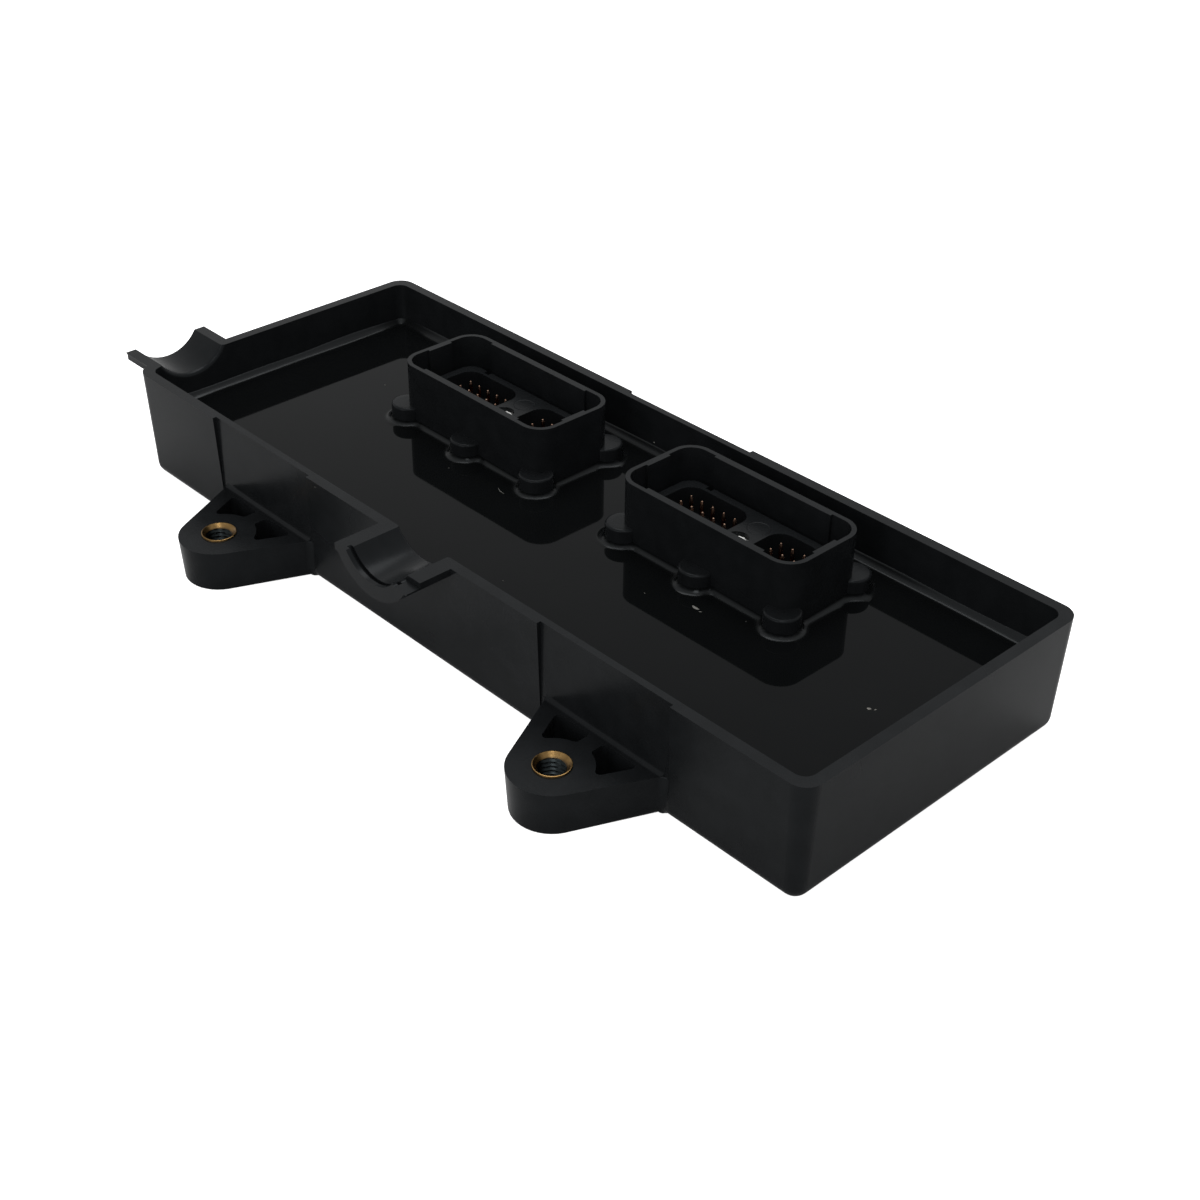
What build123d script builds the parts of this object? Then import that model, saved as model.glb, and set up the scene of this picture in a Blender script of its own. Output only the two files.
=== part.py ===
from build123d import *
import os
from math import acos, atan2, cos, degrees, hypot, radians, sin, sqrt, tan

os.makedirs("parts", exist_ok=True)

# Origin: middle of the tray's flat underside. X runs along the tray, Z points out of its open
# side, and the wall with two screw ears faces -Y. All sizes are in millimetres.

# Tray: one drafted moulding, outline sizes taken at the rim
tray_length = 264.0
tray_width = 100.0
tray_height = 33.8
draft_angle = 2.0
wall_thickness = 3.15
floor_thickness = 3.0
rim_corner_radius = 5.0
bottom_edge_radius = 3.5
inner_corner_radius = 2.2
inner_bottom_radius = 2.0

# Screw ears, with the upright panel of wall behind each one
ear_spacing = 138.0
ear_reach = 15.2
ear_thickness = 12.2
ear_tip_radius = 11.2
ear_root_half_width = 20.4
ear_wall_fillet = 1.3
ear_bottom_edge_radius = 2.2
front_panel_half_width = 22.3
back_panel_half_width = 24.0
pocket_floor = 2.6
pocket_wall_strip = 2.1
pocket_flank_wall = 4.6
pocket_rib_half_width = 2.5
pocket_boss_radius = 10.2
pocket_corner_radius = 1.2

# Threaded inserts of the ears, M8 core size
insert_outer_radius = 4.85
insert_core_radius = 3.32
insert_chamfer = 0.9
insert_proud = 0.5
insert_groove_depth = 0.4
insert_groove_height = 1.8
insert_groove_gap = 4.0

# Half-round wire troughs, open at the rim
trough_wall = 3.0
trough_lip_height = 2.0
front_trough_x = 0.0
front_trough_radius = 11.9
front_trough_rise = 6.7
front_trough_length = 14.0
front_mouth_radius = 0.8
end_trough_y = -32.4
end_trough_radius = 12.5
end_trough_rise = 7.0
end_trough_length = 12.0
end_trough_lip_half_width = 13.8
end_mouth_radius = 1.3
lip_end_radius = 1.1
flange_length = 4.2
flange_step = 1.2
flange_dip_width = 6.0
flange_dip_depth = 1.5
flange_dip_radius = 1.2
strap_groove_width = 1.2
strap_groove_depth = 1.0
strap_groove_inset = 1.2

# Posts under the circuit board
board_length = 250.0
board_width = 85.0
board_thickness = 1.6
board_level = 9.0
board_corner_radius = 2.0
post_radius = 4.0
post_spacing_x = 118.0
post_spacing_y = 75.0
post_hole_depth = 5.0

# Cast compound
compound_level = 20.6

# Plug headers
header_spacing = 92.4
header_y = 20.1
header_length = 62.0
header_width = 29.0
header_top = 39.2
header_corner_radius = 6.6
shroud_wall = 2.1
shroud_corner_wall = 1.3
shroud_end_pad_half = 4.2
shroud_side_pad_half = 20.5
groove_floor_level = 22.0
platform_top = 31.3
platform_length = 53.0
platform_width = 19.8
platform_corner_radius = 4.5
key_slot_x = -18.6
key_slot_width = 2.0
key_slot_depth = 1.4
pin_pocket_floor = 23.5
pin_pocket_width = 15.0
pin_pocket_corner_radius = 4.6
large_pocket_length = 23.0
large_pocket_x = -12.4
small_pocket_length = 15.4
small_pocket_x = 16.0
header_floor_underside = 18.0
skirt_wall = 2.6
vent_x = 14.0
vent_width = 7.0
vent_height = 2.4
lobe_radius = 5.0
lobe_top = 25.8
low_lobe_top = 21.9
lobe_edge_radius = 0.8
corner_lobe_x = 28.6
corner_lobe_y = 13.35
lobe_screw_length = 8.0

# Contact pins
pin_pitch = 4.0
pin_size = 0.8
pin_tip_level = 30.1
pin_tip_length = 0.9
pin_tip_size = 0.35
pin_tail = 1.4
large_field_columns = 5
small_field_columns = 3
pin_rows = 3

# Jackscrew nut of a header, M5 core size
nut_x = 3.4
nut_y = -3.5
nut_radius = 3.1
nut_core_radius = 2.1
nut_length = 9.5
nut_drop = 1.0
nut_chamfer = 0.3
nut_groove_depth = 0.4
nut_groove_height = 1.6
nut_end_thickness = 1.4
nut_boss_radius = 5.2

# Self-tapping screws
screw_radius = 1.4
screw_clearance = 0.3
screw_head_radius = 2.7
screw_head_height = 1.9
screw_recess_width = 0.9
screw_recess_length = 3.0
screw_recess_depth = 0.9
screw_head_edge = 0.9
screw_end_gap = 0.5
board_screw_length = 6.0

# Parts soldered on the board: length, width and height of each kind
microcontroller_size = (24.0, 24.0, 1.7)
memory_size = (6.0, 5.0, 1.6)
driver_size = (7.6, 15.4, 2.5)
transceiver_size = (5.0, 4.0, 1.6)
regulator_size = (10.0, 9.2, 4.4)
transistor_size = (6.6, 6.2, 2.3)
diode_size = (7.0, 6.0, 2.4)
shunt_size = (6.4, 3.2, 0.8)
ceramic_size = (3.2, 1.6, 1.5)
choke_size = (6.0, 4.4, 4.6)
inductor_size = (12.6, 12.6, 6.2)
crystal_size = (11.4, 4.6, 3.6)
capacitor_radius = 4.0
capacitor_height = 8.4
capacitor_base = 8.4
capacitor_base_height = 1.2
lead_reach = 1.1
lead_height = 0.5
chip_edge = 0.3

# Worked out from the sizes above
draft_shift = tray_height * tan(radians(draft_angle))
base_length = tray_length - 2 * draft_shift
base_width = tray_width - 2 * draft_shift
floor_shift = (tray_height - floor_thickness) * tan(radians(draft_angle))
cavity_length = tray_length - 2 * wall_thickness - 2 * floor_shift
cavity_width = tray_width - 2 * wall_thickness - 2 * floor_shift
board_top = board_level + board_thickness
nut_top = platform_top - nut_drop
header_xs = {"left": -header_spacing / 2, "right": header_spacing / 2}
low_lobe_place = (-corner_lobe_x, -corner_lobe_y)
tall_lobe_places = [
    (corner_lobe_x, -corner_lobe_y),
    (-corner_lobe_x, corner_lobe_y),
    (corner_lobe_x, corner_lobe_y),
    (0, -header_width / 2),
    (0, header_width / 2),
]
lobe_places = [low_lobe_place, *tall_lobe_places]
post_places = [
    (x, y)
    for x in (-post_spacing_x, 0, post_spacing_x)
    for y in (-post_spacing_y / 2, post_spacing_y / 2)
]

pin_places = [
    (field_x + (column - (columns - 1) / 2) * pin_pitch, (row - (pin_rows - 1) / 2) * pin_pitch)
    for field_x, columns in (
        (large_pocket_x, large_field_columns),
        (small_pocket_x, small_field_columns),
    )
    for column in range(columns)
    for row in range(pin_rows)
]

# Each ear is drawn about its own insert, with local -Y pointing away from the tray.
insert_y = tray_width / 2 + ear_reach
insert_length = ear_thickness + insert_proud
panel_y = insert_y - base_width / 2
front_seats = [
    Plane(origin=(side * ear_spacing / 2, -insert_y, 0), x_dir=(1, 0, 0)) for side in (-1, 1)
]
back_seat = Plane(origin=(0, insert_y, 0), x_dir=(-1, 0, 0))
seats = {"front_left": front_seats[0], "front_right": front_seats[1], "back": back_seat}
panel_half_widths = {
    "front_left": front_panel_half_width,
    "front_right": front_panel_half_width,
    "back": back_panel_half_width,
}

# Inner face of an ear's flank: a line set in from the tangent that joins root and tip circle
root_distance = hypot(ear_root_half_width, panel_y)
flank_normal = atan2(panel_y, ear_root_half_width) - acos(ear_tip_radius / root_distance)


def inner_flank_x(y):
    """Half width between the inner faces of the flanks, at local height y."""
    return (ear_tip_radius - pocket_flank_wall - sin(flank_normal) * y) / cos(flank_normal)


# Threaded insert of an ear: a through-threaded brass bush with two grooves that lock it in.
def insert_blank(seat):
    """Outside form of one insert, standing a little proud of its ear."""
    with BuildPart() as blank:
        with BuildSketch(seat):
            Circle(insert_outer_radius)
        extrude(amount=insert_length)
        for side in (-1, 1):
            middle = (ear_thickness + side * insert_groove_gap) / 2
            with BuildSketch(seat.offset(middle - insert_groove_height / 2)):
                Circle(insert_outer_radius)
                Circle(insert_outer_radius - insert_groove_depth, mode=Mode.SUBTRACT)
            extrude(amount=insert_groove_height, mode=Mode.SUBTRACT)
    return blank.part


insert_blanks = {name: insert_blank(seat) for name, seat in seats.items()}
for name, seat in seats.items():
    with BuildPart() as insert:
        add(insert_blanks[name])
        with BuildSketch(seat):
            Circle(insert_core_radius)
        extrude(amount=insert_length, mode=Mode.SUBTRACT)
        bore_edges = insert.edges().filter_by(GeomType.CIRCLE).filter_by(
            lambda e: abs(e.radius - insert_core_radius) < 0.01
        )
        chamfer(bore_edges, insert_chamfer)
    insert.part.label = f"insert_{name}"
    export_step(insert.part, f"parts/insert_{name}.step")

# The space inside the tray: the tray is cut by it and the compound fills its lower part.
with BuildPart() as cavity:
    with BuildSketch(Plane.XY.offset(floor_thickness)):
        RectangleRounded(cavity_length, cavity_width, inner_corner_radius)
    extrude(amount=tray_height, taper=-draft_angle)
    fillet(cavity.faces().sort_by(Axis.Z)[0].edges(), inner_bottom_radius)

# Six posts on the tray's floor carry the circuit board, each with a blind screw hole.
with BuildPart() as posts:
    with BuildSketch(Plane.XY.offset(floor_thickness / 2)):
        with Locations(*post_places):
            Circle(post_radius)
    extrude(amount=board_level - floor_thickness / 2)
    with BuildSketch(Plane.XY.offset(board_level)):
        with Locations(*post_places):
            Circle(screw_radius)
    extrude(amount=-post_hole_depth, mode=Mode.SUBTRACT)

# A trough is drawn looking in at its open end, with the tray's rim at local height 0.
front_trough_start = -(tray_width - wall_thickness) / 2
end_trough_start = -(tray_length - wall_thickness) / 2
trough_views = {
    "front": Plane(
        origin=(front_trough_x, front_trough_start, tray_height),
        x_dir=(1, 0, 0),
        z_dir=(0, -1, 0),
    ),
    "end": Plane(
        origin=(end_trough_start, end_trough_y, tray_height),
        x_dir=(0, -1, 0),
        z_dir=(-1, 0, 0),
    ),
}
trough_lengths = {
    "front": front_trough_length + wall_thickness / 2,
    "end": end_trough_length + wall_thickness / 2,
}
trough_radii = {"front": front_trough_radius, "end": end_trough_radius}
trough_rises = {"front": front_trough_rise, "end": end_trough_rise}
flange_radius = front_trough_radius + trough_wall + flange_step
flange_half_width = sqrt(flange_radius**2 - front_trough_rise**2)
lip_half_widths = {"front": flange_half_width, "end": end_trough_lip_half_width}
mouth_radii = {"front": front_mouth_radius, "end": end_mouth_radius}


def ear_blank(seat):
    """Solid form of one ear, rounded along the free edge of its underside."""
    with BuildPart() as blank:
        with BuildSketch(seat):
            Circle(ear_tip_radius)
            with Locations((0, panel_y)):
                Rectangle(
                    2 * ear_root_half_width,
                    bottom_edge_radius,
                    align=(Align.CENTER, Align.MIN),
                )
            make_hull()
        extrude(amount=ear_thickness)
        free_side = Axis(seat.origin, -seat.y_dir)
        underside_edges = blank.faces().sort_by(Axis.Z)[0].edges()
        fillet(underside_edges.sort_by(free_side)[-3:], ear_bottom_edge_radius)
    return blank.part

# The tray: drafted walls, upright panels over the ears, three cored ears and two wire troughs.
with BuildPart() as tray:
    with BuildSketch():
        RectangleRounded(base_length, base_width, rim_corner_radius - draft_shift)
    extrude(amount=tray_height, taper=-draft_angle)
    fillet(tray.faces().sort_by(Axis.Z)[0].edges(), bottom_edge_radius)

    # Wall panels over the ears are upright, so they fall back from the drafted wall
    for name, seat in seats.items():
        with BuildSketch(seat):
            with Locations((0, panel_y)):
                Rectangle(
                    2 * panel_half_widths[name],
                    2 * draft_shift,
                    align=(Align.CENTER, Align.MAX),
                )
        extrude(amount=tray_height, mode=Mode.SUBTRACT)

    # Ears, flush with the underside
    for seat in seats.values():
        add(ear_blank(seat))

    # Troughs: a half pipe with a bead along each edge, standing out from its wall
    for name, view in trough_views.items():
        outer_radius = trough_radii[name] + trough_wall
        with BuildSketch(view):
            with Locations((0, trough_rises[name])):
                Circle(outer_radius)
            Rectangle(
                2 * lip_half_widths[name],
                trough_lip_height,
                align=(Align.CENTER, Align.MAX),
            )
            Rectangle(
                3 * outer_radius,
                2 * outer_radius,
                align=(Align.CENTER, Align.MIN),
                mode=Mode.SUBTRACT,
            )
        extrude(amount=trough_lengths[name])

    # The end trough's beads have rounded corners at the open end
    lip_corners = tray.edges().filter_by(Axis.Z).sort_by(Axis.X)[:2]
    fillet(lip_corners, lip_end_radius)

    # Flange round the outer end of the front trough
    flange_start = trough_lengths["front"] - flange_length
    with BuildSketch(trough_views["front"].offset(flange_start)):
        with Locations((0, front_trough_rise)):
            Circle(flange_radius)
        Rectangle(
            3 * flange_radius,
            2 * flange_radius,
            align=(Align.CENTER, Align.MIN),
            mode=Mode.SUBTRACT,
        )
    extrude(amount=flange_length)

    # One end of the flange is cut down, with a rounded step against its bead
    with BuildSketch(trough_views["front"].offset(flange_start)) as dip:
        with Locations((flange_half_width + flange_dip_radius, flange_dip_radius)):
            Rectangle(
                flange_dip_width + flange_dip_radius,
                flange_dip_depth + flange_dip_radius,
                align=(Align.MAX, Align.MAX),
            )
        fillet(dip.vertices().sort_by(Axis.Z)[0:2].sort_by(Axis.X)[0], flange_dip_radius)
    extrude(amount=flange_length, mode=Mode.SUBTRACT)

    # Hollow of the tray, then its posts
    add(cavity.part, mode=Mode.SUBTRACT)
    add(posts.part)

    # Channels of the troughs, right through the walls
    for name, view in trough_views.items():
        with BuildSketch(view.offset(-wall_thickness)):
            with Locations((0, trough_rises[name])):
                Circle(trough_radii[name])
        extrude(amount=trough_lengths[name] + wall_thickness, mode=Mode.SUBTRACT)
        mouth_edges = tray.edges().filter_by(GeomType.ELLIPSE).sort_by_distance(view.origin)
        fillet(mouth_edges[0], mouth_radii[name])

    # Narrow groove inside the front trough, near its open end
    groove_start = trough_lengths["front"] - strap_groove_inset - strap_groove_width
    with BuildSketch(trough_views["front"].offset(groove_start)):
        with Locations((0, front_trough_rise)):
            Circle(front_trough_radius + strap_groove_depth)
    extrude(amount=strap_groove_width, mode=Mode.SUBTRACT)

    # Fillet where the top of each ear meets its panel
    ear_top_edges = tray.edges().filter_by_position(
        Axis.Z, ear_thickness - 0.01, ear_thickness + 0.01
    )
    root_edges = ear_top_edges.filter_by(
        lambda e: abs(abs(e.center().Y) - base_width / 2) < 0.05
    )
    fillet(root_edges, ear_wall_fillet)

    # Two cored pockets in each ear, either side of the middle rib
    for seat in seats.values():
        with BuildSketch(seat.offset(pocket_floor)) as pockets:
            strip_y = panel_y - pocket_wall_strip
            with BuildLine():
                Polyline(
                    (pocket_rib_half_width, strip_y),
                    (inner_flank_x(strip_y), strip_y),
                    (inner_flank_x(0), 0),
                    (pocket_rib_half_width, 0),
                    close=True,
                )
            make_face()
            Circle(pocket_boss_radius, mode=Mode.SUBTRACT)
            fillet(pockets.vertices(), pocket_corner_radius)
            mirror(about=Plane.YZ)
        extrude(amount=ear_thickness, mode=Mode.SUBTRACT)

    # Seats of the threaded inserts, moulded round them
    for name, seat in seats.items():
        add(insert_blanks[name], mode=Mode.SUBTRACT)
tray.part.label = "tray"
export_step(tray.part, "parts/tray.step")


def screw_group(seat, places, length):
    """Pan-head screws: heads stand on the seat plane, shanks run back from it."""
    with BuildPart() as group:
        with BuildSketch(seat):
            with Locations(*places):
                Circle(screw_head_radius)
        extrude(amount=screw_head_height)
        outward = Axis(seat.origin, seat.z_dir)
        chamfer(group.faces().sort_by(outward)[-len(places) :].edges(), screw_head_edge)
        with BuildSketch(seat):
            with Locations(*places):
                Circle(screw_radius)
        extrude(amount=-length)
        with BuildSketch(seat.offset(screw_head_height)):
            with Locations(*places):
                Rectangle(screw_recess_length, screw_recess_width)
                Rectangle(screw_recess_width, screw_recess_length)
        extrude(amount=-screw_recess_depth, mode=Mode.SUBTRACT)
    return group.part


# Screws that hold the board down on its posts
board_screws = screw_group(Plane.XY.offset(board_top), post_places, board_screw_length)
board_screws.label = "board_screws"
export_step(board_screws, "parts/board_screws.step")


def nut_blank(x):
    """Outside form of a jackscrew nut: a round blind nut with one locking groove."""
    seat = Plane(origin=(x + nut_x, header_y + nut_y, nut_top - nut_length))
    with BuildPart() as blank:
        with BuildSketch(seat):
            Circle(nut_radius)
        extrude(amount=nut_length)
        with BuildSketch(seat.offset((nut_length - nut_groove_height) / 2)):
            Circle(nut_radius)
            Circle(nut_radius - nut_groove_depth, mode=Mode.SUBTRACT)
        extrude(amount=nut_groove_height, mode=Mode.SUBTRACT)
    return blank.part


def jackscrew_nut(x):
    """The nut itself, threaded from its top down to a closed end."""
    top = Plane(origin=(x + nut_x, header_y + nut_y, nut_top))
    with BuildPart() as nut:
        add(nut_blank(x))
        with BuildSketch(top):
            Circle(nut_core_radius)
        extrude(amount=nut_end_thickness - nut_length, mode=Mode.SUBTRACT)
        chamfer(nut.faces().sort_by(Axis.Z)[-1].edges(), nut_chamfer)
    return nut.part


def header_shell(x):
    """Shroud, contact platform, skirt and screw lobes of one header, in one moulding."""
    seat = Plane(origin=(x, header_y, 0))
    with BuildPart() as shell:
        with BuildSketch(seat.offset(board_top)):
            RectangleRounded(header_length, header_width, header_corner_radius)
        extrude(amount=header_top - board_top)
        with BuildSketch(seat.offset(board_top)):
            with Locations(*tall_lobe_places):
                Circle(lobe_radius)
        extrude(amount=lobe_top - board_top)
        with BuildSketch(seat.offset(board_top)):
            with Locations(low_lobe_place):
                Circle(lobe_radius)
        extrude(amount=low_lobe_top - board_top)

        lobe_rims = shell.edges().filter_by_position(Axis.Z, lobe_top - 0.01, lobe_top + 0.01)
        fillet(
            lobe_rims.filter_by(GeomType.CIRCLE).filter_by(
                lambda e: abs(e.radius - lobe_radius) < 0.01
            ),
            lobe_edge_radius,
        )

        # Hollow of the shroud: its wall is thinner round the corners than along the sides
        with BuildSketch(seat.offset(groove_floor_level)) as hollow:
            RectangleRounded(
                header_length - 2 * shroud_corner_wall,
                header_width - 2 * shroud_corner_wall,
                header_corner_radius - shroud_corner_wall,
            )
            with Locations((0, header_width / 2), (0, -header_width / 2)):
                Rectangle(2 * shroud_side_pad_half, 2 * shroud_wall, mode=Mode.SUBTRACT)
            with Locations((header_length / 2, 0), (-header_length / 2, 0)):
                Rectangle(2 * shroud_wall, 2 * shroud_end_pad_half, mode=Mode.SUBTRACT)
            RectangleRounded(
                platform_length, platform_width, platform_corner_radius, mode=Mode.SUBTRACT
            )
            with Locations((key_slot_x, platform_width / 2)):
                Rectangle(key_slot_width, 2 * key_slot_depth)
        extrude(amount=header_top - groove_floor_level, mode=Mode.SUBTRACT)

        # Contact platform, lowered inside the shroud, with two deep pockets for the pins
        with BuildSketch(seat.offset(platform_top)):
            RectangleRounded(platform_length, platform_width, platform_corner_radius)
        extrude(amount=header_top - platform_top, mode=Mode.SUBTRACT)
        with BuildSketch(seat.offset(pin_pocket_floor)):
            with Locations((large_pocket_x, 0)):
                RectangleRounded(large_pocket_length, pin_pocket_width, pin_pocket_corner_radius)
            with Locations((small_pocket_x, 0)):
                RectangleRounded(small_pocket_length, pin_pocket_width, pin_pocket_corner_radius)
        extrude(amount=platform_top - pin_pocket_floor, mode=Mode.SUBTRACT)

        # Underside: a skirt round the pins, vented so that the compound runs in
        with BuildSketch(seat.offset(board_top)):
            RectangleRounded(
                header_length - 2 * skirt_wall,
                header_width - 2 * skirt_wall,
                header_corner_radius - skirt_wall,
            )
            with Locations(*lobe_places):
                Circle(lobe_radius, mode=Mode.SUBTRACT)
            with Locations((nut_x, nut_y)):
                Circle(nut_boss_radius, mode=Mode.SUBTRACT)
        extrude(amount=header_floor_underside - board_top, mode=Mode.SUBTRACT)
        with BuildSketch(seat.offset(board_top)):
            with Locations((-vent_x, 0), (vent_x, 0)):
                Rectangle(vent_width, 2 * header_width)
        extrude(amount=vent_height, mode=Mode.SUBTRACT)

        # Screw holes of the lobes, pin holes and the nut's seat
        with BuildSketch(seat.offset(board_top)):
            with Locations(*lobe_places):
                Circle(screw_radius)
        extrude(amount=lobe_screw_length + screw_end_gap, mode=Mode.SUBTRACT)
        with BuildSketch(seat.offset(header_floor_underside)):
            with Locations(*pin_places):
                Rectangle(pin_size, pin_size)
        extrude(amount=pin_pocket_floor - header_floor_underside, mode=Mode.SUBTRACT)
        add(nut_blank(x), mode=Mode.SUBTRACT)
        with BuildSketch(seat.offset(nut_top)):
            with Locations((nut_x, nut_y)):
                Circle(nut_radius)
        extrude(amount=nut_drop, mode=Mode.SUBTRACT)
    return shell.part


def contact_pins(x):
    """All pins of one header: square blades with tapered tips, down through the board."""
    seat = Plane(origin=(x, header_y, 0))
    taper_base = pin_tip_level - pin_tip_length
    tip_taper = degrees(atan2((pin_size - pin_tip_size) / 2, pin_tip_length))
    with BuildPart() as pins:
        with BuildSketch(seat.offset(board_level - pin_tail)):
            with Locations(*pin_places):
                Rectangle(pin_size, pin_size)
        extrude(amount=taper_base - board_level + pin_tail)
        with BuildSketch(seat.offset(taper_base)):
            with Locations(*pin_places):
                Rectangle(pin_size, pin_size)
        extrude(amount=pin_tip_length, taper=tip_taper)
    return pins.part


# Two identical headers stand side by side on the board, each with its pins, nut and screws.
embedded = [board_screws]
for side, x in header_xs.items():
    pieces = {
        f"header_shell_{side}": header_shell(x),
        f"contact_pins_{side}": contact_pins(x),
        f"jackscrew_nut_{side}": jackscrew_nut(x),
        f"header_screws_{side}": screw_group(
            Plane(origin=(x, header_y, board_level), z_dir=(0, 0, -1)),
            lobe_places,
            board_thickness + lobe_screw_length,
        ),
    }
    for name, piece in pieces.items():
        piece.label = name
        export_step(piece, f"parts/{name}.step")
        embedded.append(piece)

# The circuit board, drilled for its posts, for the header screws and for every pin.
with BuildPart() as circuit_board:
    with BuildSketch(Plane.XY.offset(board_level)):
        RectangleRounded(board_length, board_width, board_corner_radius)
        with Locations(*post_places):
            Circle(screw_radius + screw_clearance, mode=Mode.SUBTRACT)
        for x in header_xs.values():
            with Locations((x, header_y)):
                with Locations(*lobe_places):
                    Circle(screw_radius + screw_clearance, mode=Mode.SUBTRACT)
                with Locations(*pin_places):
                    Rectangle(pin_size, pin_size, mode=Mode.SUBTRACT)
    extrude(amount=board_thickness)
circuit_board.part.label = "circuit_board"
export_step(circuit_board.part, "parts/circuit_board.step")
embedded.append(circuit_board.part)


def chip_group(places, size, lead_sides):
    """Moulded chips with a row of leads along each named side, drawn as one strip."""
    length, width, height = size
    with BuildPart() as chips:
        with BuildSketch(Plane.XY.offset(board_top)):
            with Locations(*places):
                Rectangle(length, width)
        extrude(amount=height)
        chamfer(chips.faces().sort_by(Axis.Z)[-len(places) :].edges(), chip_edge)
        with BuildSketch(Plane.XY.offset(board_top)):
            with Locations(*places):
                if "x" in lead_sides:
                    Rectangle(length + 2 * lead_reach, width - 4 * chip_edge)
                if "y" in lead_sides:
                    Rectangle(length - 4 * chip_edge, width + 2 * lead_reach)
        extrude(amount=lead_height)
    return chips.part


def can_group(places):
    """Aluminium capacitor cans on their square moulded bases."""
    with BuildPart() as cans:
        with BuildSketch(Plane.XY.offset(board_top)):
            with Locations(*places):
                Rectangle(capacitor_base, capacitor_base)
        extrude(amount=capacitor_base_height)
        with BuildSketch(Plane.XY.offset(board_top)):
            with Locations(*places):
                Circle(capacitor_radius)
        extrude(amount=capacitor_height)
        chamfer(cans.faces().sort_by(Axis.Z)[-len(places) :].edges(), chip_edge)
    return cans.part


def crystal(place):
    """Low metal can with round ends."""
    length, width, height = crystal_size
    with BuildPart() as can:
        with BuildSketch(Plane.XY.offset(board_top)):
            with Locations(place):
                SlotOverall(length, width)
        extrude(amount=height)
        chamfer(can.faces().sort_by(Axis.Z)[-1].edges(), chip_edge)
    return can.part


# Parts soldered on the board, in the strip before the headers and at both ends.
front_row_y = -20.0
board_parts = {
    "microcontroller": chip_group([(-30, front_row_y)], microcontroller_size, "xy"),
    "memory_chip": chip_group([(-54, front_row_y)], memory_size, "y"),
    "driver_chips": chip_group(
        [(x, front_row_y) for x in (10, 32, 54, 76)], driver_size, "x"
    ),
    "bus_transceivers": chip_group([(-72, -12), (-72, -28)], transceiver_size, "x"),
    "bus_choke": chip_group([(-84, front_row_y)], choke_size, "y"),
    "voltage_regulator": chip_group([(0, 16)], regulator_size, "y"),
    "power_transistors": chip_group(
        [(x, y) for x in (96, 112) for y in (-21, -7, 7, 21)], transistor_size, "y"
    ),
    "surge_diodes": chip_group([(-112, 24), (-96, 24)], diode_size, "x"),
    "shunt_resistors": chip_group([(90, -36), (104, -36)], shunt_size, "x"),
    "ceramic_capacitors": chip_group(
        [(x, y) for x in (-42, -36, -30, -24, -18, -12) for y in (-38, -4)],
        ceramic_size,
        "x",
    ),
    "power_inductor": chip_group([(-104, 6)], inductor_size, "x"),
    "bulk_capacitors": can_group([(x, -14) for x in (-118, -106, -94)]),
    "clock_crystal": crystal((-54, -33)),
}
for name, piece in board_parts.items():
    piece.label = name
    export_step(piece, f"parts/{name}.step")
    embedded.append(piece)

# The compound fills the tray up to its level and takes the shape of all that it covers.
# What is left over inside screw holes is air, so only the main body is kept.
with BuildPart() as compound:
    add(cavity.part)
    split(bisect_by=Plane.XY.offset(compound_level), keep=Keep.BOTTOM)
    add(posts.part, mode=Mode.SUBTRACT)
    for piece in embedded:
        add(piece, mode=Mode.SUBTRACT)
potting_compound = compound.part.solids().sort_by(SortBy.VOLUME)[-1]
potting_compound.label = "potting_compound"
export_step(potting_compound, "parts/potting_compound.step")
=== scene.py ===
import bpy
import numpy as np
from mathutils import Matrix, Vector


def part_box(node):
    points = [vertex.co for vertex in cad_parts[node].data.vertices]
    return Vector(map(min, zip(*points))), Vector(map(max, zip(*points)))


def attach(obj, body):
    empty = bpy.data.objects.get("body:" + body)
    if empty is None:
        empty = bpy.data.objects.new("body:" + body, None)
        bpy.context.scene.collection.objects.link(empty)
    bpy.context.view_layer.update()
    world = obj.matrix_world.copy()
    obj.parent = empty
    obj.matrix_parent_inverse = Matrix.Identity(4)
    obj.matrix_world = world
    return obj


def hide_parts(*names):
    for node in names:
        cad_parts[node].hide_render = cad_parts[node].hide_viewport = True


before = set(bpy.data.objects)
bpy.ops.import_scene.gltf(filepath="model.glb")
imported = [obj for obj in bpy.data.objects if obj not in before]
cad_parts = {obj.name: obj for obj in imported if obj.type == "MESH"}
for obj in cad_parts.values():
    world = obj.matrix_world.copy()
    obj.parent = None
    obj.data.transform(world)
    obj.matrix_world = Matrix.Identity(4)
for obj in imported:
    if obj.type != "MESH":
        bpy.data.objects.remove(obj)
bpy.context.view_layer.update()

# Tray and both header shells: injection-moulded black glass-filled nylon, straight from a
# spark-eroded tool. Every edge of a moulding carries the small round of its tool, and the skin has
# a fine grain, faint flow marks and here and there a slightly duller or glossier patch.
def new_material(name):
    """Material with a node tree of its own."""
    material = bpy.data.materials.new(name)
    material.use_nodes = True
    return material


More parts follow.
